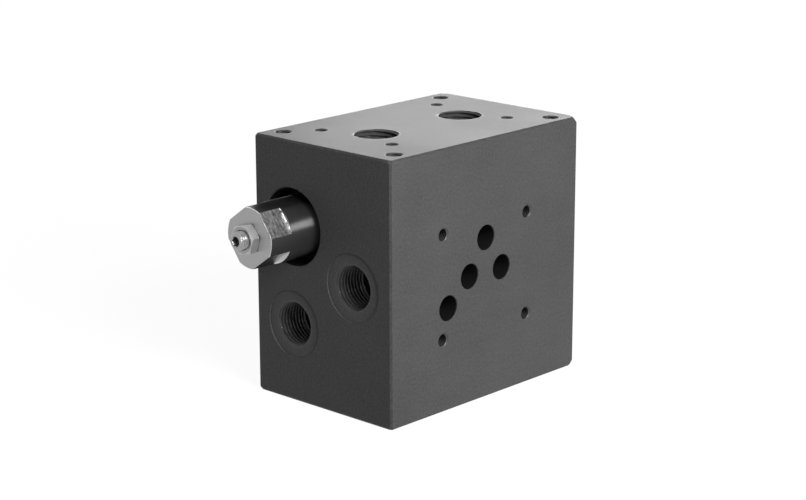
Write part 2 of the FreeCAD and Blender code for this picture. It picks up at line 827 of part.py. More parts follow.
def make_plugs():
    """Make the two hexagon socket plugs and the seal rings under their collars."""
    collar = "plug_collar_dia / 2"
    thread = "plug_thread_dia / 2 - static_gap"
    ring_seat = "plug_ring_dia / 2"
    tip = "plug_collar_length + plug_thread_length"
    pieces = []
    for name, turn, (along, back, up), (step, sign) in (
        ("side", 180, ("block_length", GALLERY_BACK, PRESSURE_UP), ("x", "-")),
        ("base", -90, (SERVICE_RIGHT, LOWER_PORT_BACK, "0"), ("z", "+")),
    ):
        plug = new_body(f"{name}_drilling_plug")
        turned(
            plug,
            [
                ("0", "0"),
                ("0", f"{collar} - plug_collar_edge"),
                ("plug_collar_edge", collar),
                ("plug_collar_length", collar),
                ("plug_collar_length", ring_seat),
                ("plug_collar_length - plug_ring_length", ring_seat),
                ("plug_collar_length - plug_ring_length", thread),
                (f"{tip} - plug_tip_edge", thread),
                (tip, f"{thread} - plug_tip_edge"),
                (tip, "0"),
            ],
        )
        hexagon_socket(plug, "plug_socket_across", "plug_socket_depth")
        ring = make_ring(
            f"{name}_plug_seal_ring",
            "plug_ring_length - groove_play / 2",
            "plug_thread_dia + 2 * static_gap",
            "plug_ring_dia - 2 * static_gap",
        )
        axis = FreeCAD.Vector(0, 0, 1) if step == "x" else FreeCAD.Vector(0, 1, 0)
        ring_start = "plug_sink + plug_collar_length - plug_ring_length + groove_play / 4"
        for piece, start in ((plug, "plug_sink"), (ring, ring_start)):
            piece.Placement = FreeCAD.Placement(FreeCAD.Vector(), FreeCAD.Rotation(axis, turn))
            if step == "x":
                place(piece, f"{along} {sign} ({start})", back, up)
            else:
                place(piece, along, back, f"{up} {sign} ({start})")
            pieces.append(piece)
    return pieces


def write_parts(pieces):
    """Check every object and every finished shape, then write one file for each sub-part."""
    for item in doc.Objects:
        if {"Invalid", "Error"} & set(item.State):
            raise RuntimeError(f"{item.Label} did not build: {item.State}")
    for piece in pieces:
        if piece.Shape.isNull() or not piece.Shape.isValid():
            raise RuntimeError(f"{piece.Label} has no valid shape")
    os.makedirs("parts", exist_ok=True)
    for piece in pieces:
        piece.Shape.exportStep(f"parts/{piece.Label}.step")
        print(f"{piece.Label}: {piece.Shape.Volume:.1f} mm3, {len(piece.Shape.Solids)} solid")


fill_sheet()
parts = [
    make_block(),
    make_relief_body(),
    make_valve_seat(),
    make_seat_clip(),
    make_poppet(),
    make_spring(),
    make_piston(),
    make_screw(),
    make_lock_nut(),
    *make_cartridge_rings(),
    *make_plugs(),
]
doc.recompute()
write_parts(parts)
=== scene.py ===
import math

import bpy
import numpy as np
from mathutils import Matrix


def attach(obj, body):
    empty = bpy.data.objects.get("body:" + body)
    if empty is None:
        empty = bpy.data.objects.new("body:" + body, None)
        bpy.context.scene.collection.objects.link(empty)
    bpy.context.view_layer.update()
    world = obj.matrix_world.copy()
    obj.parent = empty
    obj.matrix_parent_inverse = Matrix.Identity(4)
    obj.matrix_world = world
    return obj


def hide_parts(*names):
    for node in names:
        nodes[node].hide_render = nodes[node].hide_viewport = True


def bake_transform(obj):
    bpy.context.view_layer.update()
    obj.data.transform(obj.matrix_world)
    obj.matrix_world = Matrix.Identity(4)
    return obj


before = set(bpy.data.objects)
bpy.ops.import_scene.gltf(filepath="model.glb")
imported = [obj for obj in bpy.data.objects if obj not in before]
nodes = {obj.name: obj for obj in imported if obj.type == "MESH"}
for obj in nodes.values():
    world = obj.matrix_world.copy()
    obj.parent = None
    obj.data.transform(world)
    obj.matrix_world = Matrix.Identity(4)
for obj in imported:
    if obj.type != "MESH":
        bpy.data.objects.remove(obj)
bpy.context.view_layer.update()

# The block: bar steel milled square, drilled from every face and blackened in hot salts. The milled faces
# keep a fine satin grain, the salts dry in faint clouds, and handling rubs the edges a little paler.
BLOCK_HALF = (0.060, 0.040, 0.0575)
SPOTFACE_SUNK = 0.0006
SPOTFACE_X = SPOTFACE_SUNK - BLOCK_HALF[0]
COAT_TONE = 0.060


class Signal:
    """A value on its way through the nodes of a finish; arithmetic on it adds Math nodes."""

    def __init__(self, tree, socket=None):
        self.tree = tree
        self.socket = socket

    def node(self, kind, settings=None, inputs=None, output=0):
        """Add a node: its settings first, then a value or a link for each input that is named."""
        made = self.tree.nodes.new(kind)
        for name, value in (settings or {}).items():
            setattr(made, name, value)
        for name, value in (inputs or {}).items():
            if isinstance(value, Signal):
                self.tree.links.new(value.socket, made.inputs[name])
            else:
                made.inputs[name].default_value = value
        return Signal(self.tree, made.outputs[output] if made.outputs else None)

    def math(self, operation, *others):
        return self.node("ShaderNodeMath", {"operation": operation}, dict(enumerate([self, *others])))

    def __add__(self, other):
        return self.math("ADD", other)

    def __sub__(self, other):
        return self.math("SUBTRACT", other)

    def __rsub__(self, other):
        return self.node("ShaderNodeMath", {"operation": "SUBTRACT"}, {0: other, 1: self})

    def __mul__(self, other):
        return self.math("MULTIPLY", other)

    __radd__ = __add__
    __rmul__ = __mul__

    def parts(self):
        """Split a vector into its three numbers."""
        split = self.node("ShaderNodeSeparateXYZ", inputs={0: self})
        return [Signal(self.tree, out) for out in split.socket.node.outputs]

    def rise(self, low, high):
        """Go smoothly from 0 to 1 as the value goes from low to high; low may be the larger."""
        return self.node(
            "ShaderNodeMapRange",
            {"interpolation_type": "SMOOTHSTEP"},
            {"Value": self, "From Min": low, "From Max": high},
        )

    def moved(self, shift=(0, 0, 0), stretch=(1, 1, 1), turn=(0, 0, 0)):
        """Shift, turn and stretch a place before a pattern reads it."""
        return self.node(
            "ShaderNodeMapping",
            inputs={"Vector": self, "Location": shift, "Scale": stretch, "Rotation": turn},
        )

    def noise(self, scale, detail, roughness=0.5):
        """Cloudy noise about 0.5, so many lumps to a metre."""
        return self.node(
            "ShaderNodeTexNoise",
            inputs={"Vector": self, "Scale": scale, "Detail": detail, "Roughness": roughness},
        )

    def specks(self, scale, radius):
        """1 inside small dots strewn at random, so many to a metre, of a radius in metres."""
        cells = self.node("ShaderNodeTexVoronoi", inputs={"Vector": self, "Scale": scale})
        return cells.rise(radius * scale, radius * scale * 0.6)

    def blend(self, first, second):
        """Go from one colour to another as this value goes from 0 to 1."""
        return self.node("ShaderNodeMix", {"data_type": "RGBA"}, {0: self, 6: first, 7: second}, output=2)

    def relief(self, depth, strength, over=None):
        """Turn a height from 0 to 1 into a bump of that depth in metres, over another bump if given."""
        inputs = {"Height": self, "Distance": depth, "Strength": strength}
        if over is not None:
            inputs["Normal"] = over
        return self.node("ShaderNodeBump", inputs=inputs)


def make_finish(name, recipe):
    """Make a material: the recipe turns Object coordinates into sockets of the Principled shader."""
    material = bpy.data.materials.new(name)
    material.use_nodes = True
    material.node_tree.nodes.clear()
    place = Signal(material.node_tree).node("ShaderNodeTexCoord", output="Object")
    shader = place.node("ShaderNodeBsdfPrincipled", inputs=recipe(place))
    place.node("ShaderNodeOutputMaterial", inputs={"Surface": shader})
    return material


def dress(material, *names):
    """Give CAD nodes a finish through their own material slots."""
    for name in names:
        for slot in nodes[name].material_slots:
            slot.material = material


def face_distances(place):
    """Nearest and second nearest distance from a place to the planes of the block's faces."""
    x, y, z = place.moved(shift=(0, 0, -BLOCK_HALF[2])).parts()
    a, b, c = [half - axis.math("ABSOLUTE") for half, axis in zip(BLOCK_HALF, (x, y, z))]
    lower = a.math("MINIMUM", b)
    upper = a.math("MAXIMUM", b)
    return lower.math("MINIMUM", c), lower.math("MAXIMUM", upper.math("MINIMUM", c))


def blackened(place):
    """Black conversion coat: satin grain, clouds where salts dried, pale specks, rubbed edges; edges and
    bores darkened as painted shade.

    Edges are where the second nearest face plane is near, and bores where even the nearest is far. The
    spotfaces lie as far in as they are sunk; they count as outside and are a little paler.
    """
    nearest, second = face_distances(place)
    clouds = place.moved(stretch=(1.0, 0.6, 1.0)).noise(24.0, 4.0, 0.6)
    lay = place.moved(stretch=(0.25, 1.0, 1.0)).noise(260.0, 3.0, 0.6)
    grain = place.noise(900.0, 3.0, 0.7)
    rubbed = second.rise(0.0022, 0.0004) * place.noise(180.0, 3.0).rise(0.45, 0.85)
    painted_light_edge = second.rise(0.0010, 0.0006)
    beyond_spotface = place.parts()[0].rise(SPOTFACE_X + 0.0002, SPOTFACE_X + 0.0004)
    below_spotface = nearest.rise(SPOTFACE_SUNK - 0.0002, SPOTFACE_SUNK - 0.0001)
    spotface = below_spotface * nearest.rise(SPOTFACE_SUNK + 0.0002, SPOTFACE_SUNK + 0.0001)
    painted_shade_bores = nearest.rise(0.0010, 0.0018).math("MAXIMUM", nearest.rise(0.0003, 0.0009) * beyond_spotface)
    specks = place.specks(150.0, 0.00020)
    tone = 0.12 + 0.45 * clouds + 0.15 * lay + 1.15 * grain
    # The edge mask darkens the coat by about a quarter as painted shade, and the bore mask below makes the
    # bores nearly black as painted shade.
    shade = COAT_TONE * tone * (1.0 - 0.26 * painted_light_edge) + 0.018 * rubbed + 0.14 * specks + 0.012 * spotface
    shade = shade * (1.0 - 0.92 * painted_shade_bores)
    colour = shade.node("ShaderNodeCombineColor", inputs={0: shade, 1: shade, 2: shade * 1.01})
    rough = 0.34 + 0.16 * clouds + 0.14 * grain - 0.08 * rubbed + 0.30 * painted_shade_bores
    fine = place.noise(2600.0, 2.0, 0.55).relief(0.000012, 0.55)
    bump = lay.relief(0.00002, 0.30, over=fine)
    return {"Base Color": colour, "Roughness": rough, "IOR": 1.22, "Normal": bump}


dress(make_finish("black_conversion_coat", blackened), "subplate_block")


# Threads of the line ports and screw holes: cut with taps into drilled holes before the block is blackened.
# The solid model stops at each thread's major diameter, and the ridges stand inwards from there.
PORT_THREAD = {
    "major": 0.0104775, "minor": 0.009316, "pitch": 0.001814,
    "entry": 0.00002, "mouth": 0.00985, "rim": 0.010715, "tapped": 0.0140,
}
M8_THREAD = {
    "major": 0.0040, "minor": 0.003376, "pitch": 0.00125,
    "entry": 0.00002, "mouth": 0.00378, "rim": 0.00418, "tapped": 0.0155,
}
M6_THREAD = {
    "major": 0.0030, "minor": 0.002480, "pitch": 0.00100,
    "entry": 0.00002, "mouth": 0.00294, "rim": 0.00318, "tapped": 0.0130,
}
COUNTERSUNK_M6_THREAD = M6_THREAD | {"entry": 0.0002, "mouth": 0.0030, "rim": 0.00302}
DRILL_POINT = math.radians(59)
SHARP_FROM = math.radians(38)
GROOVE_GAP = 0.00001
WALL_IN_METAL = 0.0003
FLOOR_SETBACK = 0.0002
TOP_Z = 2 * BLOCK_HALF[2]
VALVE_FACE_Y = -BLOCK_HALF[1]
MOUTH_TONE = 0.050


def skin(name, rows, joined):
    """Cover rows of points, each row a closed loop, with quads.

    The last row joins the first when they close on each other, and otherwise each end gets a flat cap.
    """
    along, around = rows.shape[:2]
    index = np.arange(along * around).reshape(along, around)
    steps = index if joined else index[:-1]
    ahead = np.roll(index, -1, axis=0)[: len(steps)]
    quads = np.stack([steps, np.roll(steps, -1, axis=1), np.roll(ahead, -1, axis=1), ahead], axis=-1)
    faces = quads.reshape(-1, 4).tolist()
    if not joined:
        faces += [index[0, ::-1].tolist(), index[-1].tolist()]
    mesh = bpy.data.meshes.new(name)
    mesh.from_pydata(rows.reshape(-1, 3), [], faces)
    mesh.polygons.foreach_set("use_smooth", np.ones(len(mesh.polygons), bool))
    mesh.set_sharp_from_angle(angle=SHARP_FROM)
    piece = bpy.data.objects.new(name, mesh)
    bpy.context.scene.collection.objects.link(piece)
    return piece


def thread_height(turns):
    """Height of a thread from root, 0, to crest, 1, by its place in turns.

    A triangle wave is cut off near its foot and its top, which leaves the flats of a real thread.
    """
    root_flat, flank = 0.14, 0.70
    wave = 1 - np.abs(2 * np.mod(turns, 1.0) - 1)
    return np.clip((wave - root_flat) / flank, 0, 1)


def on_axis(mouth, inwards, reach, radius, angle):
    """Points at a reach along an axis and at a radius and angle round it, as rows of loops."""
    inwards = np.array(inwards, float)
    side = np.roll(np.abs(inwards), 1)
    up = np.cross(inwards, side)
    spoke = np.cos(angle)[..., None] * side + np.sin(angle)[..., None] * up
    return np.array(mouth) + reach[..., None] * inwards + radius[..., None] * spoke


def tapped_sleeve(mouth, inwards, size, depth, around, per_turn):
    """Lining of a tapped hole, as rows of loops that close on each other.

    Its inner radius is the major radius less the thread's height, kept between two 45 degree cones that
    meet at the mouth, so the first crest is cut away and the first groove closed. The tap runs out near the
    floor, where the plain tapping drill is left. The outer wall lies a little way inside the block's metal
    up to the rim, and the lower end follows the drill's cone.
    """
    cone = math.tan(DRILL_POINT)
    ridge = size["major"] - size["minor"]
    count = int((depth - size["entry"]) / size["pitch"] * per_turn)
    reach = np.linspace(size["entry"], depth + ridge / cone, count)[:, None]
    angle = np.linspace(0, 2 * np.pi, around, endpoint=False)[None, :]
    height = thread_height(reach / size["pitch"] - angle / (2 * np.pi))
    runout = np.clip((reach - size["tapped"]) / size["pitch"], 0, 1)
    inner = size["major"] - GROOVE_GAP - ridge * np.maximum(height, runout)
    sunk = reach - size["entry"]
    inner = np.clip(inner, size["mouth"] - sunk, size["mouth"] + sunk)
    outer = np.array([
        [depth - FLOOR_SETBACK, size["major"] + WALL_IN_METAL],
        [size["entry"] + WALL_IN_METAL, size["major"] + WALL_IN_METAL],
        [size["entry"], size["rim"]],
    ])
    reach = np.broadcast_to(np.vstack([reach, outer[:, :1]]), (count + len(outer), around))
    radius = np.vstack([inner, np.broadcast_to(outer[:, 1:], (len(outer), around))])
    return on_axis(mouth, inwards, reach, radius, np.broadcast_to(angle, reach.shape))


def tap_holes(name, mouths, inwards, size, depth, finish, around=48, per_turn=8):
    """Line a group of like holes with their threads, as one piece that rides on the block."""
    linings = [
        skin(f"{name}_{i}", tapped_sleeve(mouth, inwards, size, depth, around, per_turn), joined=True)
        for i, mouth in enumerate(mouths)
    ]
    with bpy.context.temp_override(active_object=linings[0], selected_editable_objects=linings):
        bpy.ops.object.join()
    piece = linings[0]
    piece.name = name
    piece.data.materials.append(finish)
    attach(piece, "root")


def four(middle, half):
    """The corners of a rectangle, from its middle and half its width and height."""
    return [(middle[0] + a * half[0], middle[1] + b * half[1]) for a in (-1, 1) for b in (-1, 1)]


def grey(shade):
    """A neutral colour from one number that varies."""
    return shade.node("ShaderNodeCombineColor", inputs={0: shade, 1: shade, 2: shade})


def oily_thread(sunk, tone):
    """The recipe for threads of a tone, whose mouth lies sunk below a face of the block.

    The flat round the mouth has the face's black coat; the thread below is oily, with streaks.
    """
    def recipe(place):
        grain = place.noise(2200.0, 2.0, 0.6)
        streaks = place.noise(500.0, 3.0, 0.6)
        flat = face_distances(place)[0].rise(sunk + 0.00016, sunk + 0.00006)
        cut = tone + 0.026 * streaks + 0.010 * grain
        return {
            "Base Color": grey(cut + flat * (MOUTH_TONE - tone - 0.026 * streaks)),
            "Roughness": 0.20 + 0.20 * streaks + 0.18 * flat,
            "IOR": 1.34,
            "Normal": grain.relief(0.00001, 0.5),
        }

    return recipe


def dull_thread_painted_shade(place):
    """Small deep threads: dull and dry below the satin mouth, their near black tone painted shade."""
    grain = place.noise(2200.0, 2.0, 0.6)
    mouth = face_distances(place)[0].rise(0.0009, 0.0006)
    return {
        "Base Color": grey(0.005 + 0.006 * grain + 0.055 * mouth),
        "Roughness": 0.66 + 0.10 * grain - 0.36 * mouth,
        "IOR": 1.30,
        "Normal": grain.relief(0.00001, 0.5),
    }


# The side ports take a darker copy of the top ports' thread; its lower tone is painted shade.
top_thread_finish = make_finish("blackened_top_port_thread", oily_thread(0.0, 0.031))
side_thread_finish = make_finish("blackened_side_port_thread", oily_thread(SPOTFACE_SUNK, 0.014))
valve_thread_finish = make_finish("blackened_screw_thread", dull_thread_painted_shade)

tap_holes(
    "top_port_threads",
    [(-0.0266, 0.0, TOP_Z), (0.0266, 0.0, TOP_Z)],
    (0, 0, -1), PORT_THREAD, depth=0.016, finish=top_thread_finish, around=96, per_turn=10,
)
tap_holes(
    "side_port_threads",
    [(SPOTFACE_X, -0.018, 0.0575), (SPOTFACE_X, 0.0175, 0.0345)],
    (1, 0, 0), PORT_THREAD, depth=0.0154, finish=side_thread_finish, around=96, per_turn=10,
)
tap_holes(
    "valve_screw_threads",
    [(across, VALVE_FACE_Y, rise) for across, rise in four((-0.001, 0.055), (0.027, 0.023))],
    (0, 1, 0), COUNTERSUNK_M6_THREAD, depth=0.016, finish=valve_thread_finish,
)
tap_holes(
    "corner_screw_threads",
    [(along, back, TOP_Z) for along, back in four((0.0, 0.0), (0.050, 0.0325))],
    (0, 0, -1), M8_THREAD, depth=0.018, finish=top_thread_finish,
)
tap_holes(
    "inner_screw_threads",
    [(along, back, TOP_Z) for along, back in four((0.0, 0.0021), (0.0367, 0.02085))],
    (0, 0, -1), M6_THREAD, depth=0.014, finish=top_thread_finish,
)


# The relief cartridge's body: turned from one steel bar and burnished black, then four wrench flats are
# milled through the black. The front is faced last, so it and the flats are bare steel with tool marks.
CARTRIDGE_Y = 0.018
CARTRIDGE_Z = 0.0773
HEAD_FRONT = -0.0843
HEAD_RADIUS = 0.0133
FLAT_LENGTH = 0.0119
FLAT_TURN = math.radians(54)
FLAT_HALF = 0.01175


def about_cartridge(place):
    """Length from the head's front, radius from the axis, and the place centred there."""
    centred = place.moved(shift=(-HEAD_FRONT, -CARTRIDGE_Y, -CARTRIDGE_Z))
    length, across, rise = centred.parts()
    radius = (across * across + rise * rise).math("SQRT")
    return length, radius, centred


def cartridge_steel(place):
    """Burnished black with fine turned lines; bare steel on the faced front, its edge and the milled flats.

    Masks go by the length from the front, the radius, and the height above the planes of the flats. Each
    flat ends in a shoulder with a torn burr. Painted highlights run along each flat's front edge, its far
    end and the torn edge of its shoulder; the lower flat is darker with painted shade, and its shoulder
    paler with a painted highlight.
    """
    length, radius, centred = about_cartridge(place)
    across, rise = centred.parts()[1:]
    turned = centred.moved(stretch=(9.0, 0.4, 0.4)).noise(420.0, 3.0, 0.6)
    rings = radius.node("ShaderNodeCombineXYZ", inputs={0: radius * 9.0, 1: length * 0.5})
    faced = rings.noise(420.0, 3.0, 0.6)
    chatter = centred.moved(turn=(-FLAT_TURN, 0, 0), stretch=(2.6, 0.55, 0.55)).noise(300.0, 4.0, 0.65)
    torn = centred.noise(900.0, 3.0, 0.65)
    smears = centred.noise(160.0, 3.0, 0.6)
    worn = centred.noise(240.0, 4.0, 0.65).rise(0.62, 0.80)

    front = length.rise(0.00045, 0.00030)
    cut_below = radius.rise(HEAD_RADIUS - 0.00003, HEAD_RADIUS - 0.00012)
    on_flat = cut_below * length.rise(FLAT_LENGTH + 0.0002, FLAT_LENGTH + 0.00005)
    milled = on_flat * (1.0 - front)
    bare = front.math("MAXIMUM", milled)
    # A painted highlight, torn, along the front edge of each flat.
    painted_light_edge = length.rise(0.00002, 0.00006) * length.rise(0.00070, 0.00040)
    painted_lip_highlight = on_flat * painted_light_edge * (0.2 + torn.rise(0.36, 0.64))
    shoulder = length.rise(FLAT_LENGTH - 0.00012, FLAT_LENGTH - 0.00006)
    # A painted highlight, torn and jagged, towards the far end of each flat.
    ridge = length.rise(FLAT_LENGTH - 0.0014, FLAT_LENGTH - 0.0005) * torn.rise(0.42, 0.58)
    cloudy = 0.62 * chatter.rise(0.38, 0.66) + 0.38 * torn.rise(0.40, 0.66)
    first = across * math.cos(FLAT_TURN) + rise * math.sin(FLAT_TURN)
    second = rise * math.cos(FLAT_TURN) - across * math.sin(FLAT_TURN)
    above_flat = first.math("ABSOLUTE").math("MAXIMUM", second.math("ABSOLUTE")) - FLAT_HALF
    # A painted highlight on the torn edge of each shoulder above its flat.
    painted_burr_highlight = above_flat.rise(0.00080, 0.00035) * (0.15 + 0.85 * torn.rise(0.44, 0.56))
    # The lower flat gets painted shade on the flat and a painted highlight on its shoulder.
    lower = first.rise(-0.0105, -0.0113)

    shoulder_tone = 0.13 + 0.66 * lower + (1.0 - lower) * painted_burr_highlight * 0.80
    flat_tone = (0.18 + 0.66 * cloudy + 0.30 * ridge) * (1.0 - 0.5 * lower)
    milled_tone = flat_tone + shoulder * (shoulder_tone - flat_tone)
    faced_tone = front * (0.31 + 0.04 * smears + 0.05 * faced)
    steel = grey(faced_tone + milled * milled_tone + 0.26 * painted_lip_highlight)
    black = grey(0.003 + 0.005 * smears + 0.020 * worn)
    marks = front * faced + (1.0 - front) * (milled * chatter + (1.0 - milled) * turned)
    coarse = (milled * (1.0 - shoulder) * (chatter + smears + 0.5 * torn)).relief(0.00014, 0.9)
    return {
        "Base Color": bare.blend(black, steel),
        "Metallic": bare,
        "Roughness": bare * (0.32 + 0.04 * smears) + (1.0 - bare) * (0.36 + 0.06 * smears),
        "IOR": 1.78,
        "Anisotropic": 0.96,
        "Normal": marks.relief(0.000015, 0.6, over=coarse),
    }


dress(make_finish("burnished_cartridge", cartridge_steel), "relief_body")


# The seat, poppet and piston: hardened steel, ground where they guide and seal. The seat is held by a clip
# of oiled spring wire. All of them work inside the cartridge.
def ground_steel(place):
    """Hardened steel: fine ground lines round the axis, slightly dark heat stain."""
    centred = about_cartridge(place)[2]
    lines = centred.moved(stretch=(10.0, 0.5, 0.5)).noise(500.0, 2.0, 0.6)
    stain = centred.noise(120.0, 3.0, 0.6)
    return {
        "Base Color": grey(0.30 + 0.16 * stain + 0.10 * lines),
        "Metallic": 1.0,
        "Roughness": 0.20 + 0.14 * lines,
        "Normal": lines.relief(0.000006, 0.5),
    }


def oiled_spring_steel(place):
    """Drawn wire: dark and oily, with scratches of the die along it."""
    scale = place.noise(900.0, 3.0, 0.6)
    oil = place.noise(140.0, 2.0, 0.5)
    return {
        "Base Color": grey(0.14 + 0.12 * scale),
        "Metallic": 1.0,
        "Roughness": 0.28 + 0.22 * oil,
        "Normal": scale.relief(0.000012, 0.5),
    }


dress(make_finish("ground_hardened_steel", ground_steel), "valve_seat", "relief_poppet", "spring_piston")
oiled_finish = make_finish("oiled_spring_steel", oiled_spring_steel)
dress(oiled_finish, "seat_retaining_ring")


# The pressure spring: round wire coiled on a mandrel, its end turns closed so that they bear flat. The
# piston squeezes it from one end and the poppet from the other, so it is two lengths that meet where it
# stands still.
SPRING_START = -0.0598
SPRING_END = -0.031842
STILL_SHARE = 0.65
WIRE_RADIUS = 0.00125
COIL_RADIUS = 0.0052
COIL_TURNS = 5.5
CLOSED_TURN = 2.05 * WIRE_RADIUS
ROWS_PER_TURN = 48
POINTS_ROUND_WIRE = 16


def spring_rows():
    """Round sections of the wire along a helix whose first and last turns lie against their neighbours.

    The place along the axis goes in straight runs by the turn: slow over each end turn, faster between.
    """
    turn = np.linspace(0, COIL_TURNS, int(COIL_TURNS * ROWS_PER_TURN) + 1)
    first, last = SPRING_START + WIRE_RADIUS, SPRING_END - WIRE_RADIUS
    stops = [first, first + CLOSED_TURN, last - CLOSED_TURN, last]
    along = np.interp(turn, [0, 1, COIL_TURNS - 1, COIL_TURNS], stops)
    angle = 2 * np.pi * turn[:, None]
    around = np.linspace(0, 2 * np.pi, POINTS_ROUND_WIRE, endpoint=False)[None, :]
    radius = COIL_RADIUS + WIRE_RADIUS * np.sin(around)
    across = CARTRIDGE_Y + radius * np.cos(angle)
    rise = CARTRIDGE_Z + radius * np.sin(angle)
    return np.stack([along[:, None] + WIRE_RADIUS * np.cos(around), across, rise], axis=-1)


def coil_length(name, rows):
    """A length of the spring in the oiled finish, fixed where it lies in place of the model's hidden spring.
    """
    piece = skin(name, rows, joined=False)
    piece.data.materials.append(oiled_finish)
    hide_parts("pressure_spring")
    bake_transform(piece)


wire = spring_rows()
still_row = int(STILL_SHARE * len(wire))
coil_length(
    "pressure_spring_outer_coils", wire[: still_row + 1],
)
coil_length(
    "pressure_spring_inner_coils", wire[still_row:],
)


# The adjusting screw: an M8 set screw with a hexagon socket in its outer end and a dog point that pushes
# the piston. Its thread is rolled, so the crests are smooth and a little rounded.
SCREW_TIP = -0.0920
SCREW_LENGTH = 0.0230
SCREW_RADIUS = 0.0040
SCREW_PITCH = 0.00125
SCREW_ROOT = 0.00067
SCREW_AROUND = 72
TIP_RADIUS = 0.0032
SOCKET_HALF = 0.0020
SOCKET_DEPTH = 0.0050
SOCKET_ENTRY_RADIUS = 0.00222
SOCKET_ENTRY_DEPTH = 0.00022
DOG_RADIUS = 0.0028
DOG_LENGTH = 0.0030


def hexagon_radius(angle, half):
    """Distance from the centre of a hexagon to its side, by angle, for half its width across flats."""
    return half / np.cos(np.mod(angle, np.pi / 3) - np.pi / 6)


def bright_steel(place):
    """Bare steel, turned and handled: soft smears, fine lines round the axis, small nicks."""
    centred = about_cartridge(place)[2]
    lines = centred.moved(stretch=(7.0, 0.6, 0.6)).noise(520.0, 3.0, 0.6)
    smears = centred.noise(210.0, 3.0, 0.6)
    nicks = centred.noise(900.0, 2.0, 0.6).rise(0.66, 0.74)
    return {
        "Base Color": grey(0.22 + 0.14 * smears + 0.08 * lines - 0.10 * nicks),
        "Metallic": 1.0,
        "Roughness": 0.27 + 0.14 * smears,
        "Normal": (lines + nicks * 0.6).relief(0.000012, 0.6),
    }


def screw_rows():
    """Rows of loops from the socket's floor, out over the chamfered tip and down the thread to the dog.

    The radius is the socket's hexagon inside, then the smaller of the tip's cone and the thread's helix,
    then the dog's cone and cylinder.
    """
    angle = np.linspace(0, 2 * np.pi, SCREW_AROUND, endpoint=False)
    socket = hexagon_radius(angle, SOCKET_HALF)
    entry = np.maximum(socket, SOCKET_ENTRY_RADIUS)
    thread_end = SCREW_LENGTH - DOG_LENGTH
    reach = np.arange(0.0, thread_end, SCREW_PITCH / 10)[:, None]
    height = thread_height(reach / SCREW_PITCH - angle[None, :] / (2 * np.pi))
    helix = SCREW_RADIUS - SCREW_ROOT * (1 - height)
    tip = TIP_RADIUS + reach
    foot = DOG_RADIUS + (thread_end - reach)
    threaded = np.minimum(np.minimum(helix, tip), foot)
    dog = np.full(SCREW_AROUND, DOG_RADIUS)
    radii = [socket * 0.999, socket, entry, *threaded, dog, dog]
    reaches = [SOCKET_DEPTH, SOCKET_ENTRY_DEPTH, 0.0, *reach[:, 0], thread_end, SCREW_LENGTH]
    reach = np.repeat(np.array(reaches)[:, None], SCREW_AROUND, axis=1)
    angles = np.repeat(angle[None, :], len(reaches), axis=0)
    return on_axis((SCREW_TIP, CARTRIDGE_Y, CARTRIDGE_Z), (1, 0, 0), reach, np.array(radii), angles)


screw = skin("adjusting_screw_thread", screw_rows(), joined=False)
screw.data.materials.append(make_finish("bright_turned_steel", bright_steel))
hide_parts("adjusting_screw")
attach(screw, "screw")


# The lock nut: a thin hexagon nut, chamfered on both faces. It is tightened against the cartridge's front
# to hold the screw's setting.
NUT_FRONT = -0.0044
CHAMFER_SLOPE = 1.732
CHAMFER_RADIUS = 0.00563


def nut_steel(place):
    """Bright drawn hexagon bar; the turned face between the chamfers is duller, with rings of the tool."""
    length, radius, centred = about_cartridge(place)
    rings = radius.node("ShaderNodeCombineXYZ", inputs={0: radius * 6.0, 1: length}).noise(520.0, 3.0, 0.6)
    smears = centred.noise(240.0, 3.0, 0.6)
    face = length.rise(NUT_FRONT + 0.00012, NUT_FRONT + 0.00004)
    from_chamfer = radius - CHAMFER_SLOPE * (length - NUT_FRONT)
    chamfer = from_chamfer.rise(CHAMFER_RADIUS, CHAMFER_RADIUS + 0.00006)
    turned_face = face * (1.0 - chamfer)
    return {
        "Base Color": grey(0.52 + 0.12 * smears - 0.20 * chamfer - turned_face * (0.32 - 0.06 * rings)),
        "Metallic": 1.0,
        "Roughness": 0.26 + 0.14 * smears + 0.06 * face,
        "Normal": (smears + face * rings).relief(0.000014, 0.6),
    }


dress(make_finish("bright_hexagon_steel", nut_steel), "lock_nut")


# The drilling plugs: turned steel with a hexagon socket, zinc plated. Each closes a cross drilling and is
# screwed down on a seal ring into a sunk recess.
def zinc_plate(place):
    """Bright zinc: clear and cold, faintly mottled, with the turned lines showing through."""
    mottle = place.noise(350.0, 3.0, 0.6)
    bloom = place.noise(60.0, 2.0, 0.5)
    shade = 0.40 + 0.16 * mottle + 0.10 * bloom
    colour = shade.node("ShaderNodeCombineColor", inputs={0: shade * 0.97, 1: shade, 2: shade * 1.04})
    return {
        "Base Color": colour,
        "Metallic": 1.0,
        "Roughness": 0.24 + 0.16 * bloom,
        "Normal": place.noise(1800.0, 2.0, 0.6).relief(0.000010, 0.5),
    }


dress(make_finish("bright_zinc_plate", zinc_plate), "side_drilling_plug", "base_drilling_plug")


# The seal rings: moulded nitrile rubber, squeezed between groove and bore, with cut plastic rings behind
# the two that hold the highest pressure.
def nitrile(place):
    """Smooth black rubber with a faint bloom."""
    bloom = place.noise(400.0, 3.0, 0.6)
    return {
        "Base Color": grey(0.012 + 0.012 * bloom),
        "Roughness": 0.48 + 0.16 * bloom,
        "Normal": place.noise(3000.0, 2.0).relief(0.000008, 0.4),
    }


def cut_plastic(place):
    """White fluoroplastic with knife lines."""
    lines = place.moved(stretch=(6.0, 0.5, 0.5)).noise(500.0, 2.0, 0.6)
    return {
        "Base Color": grey(0.62 + 0.16 * lines),
        "Roughness": 0.50 + 0.14 * lines,
        "Normal": lines.relief(0.000010, 0.4),
    }


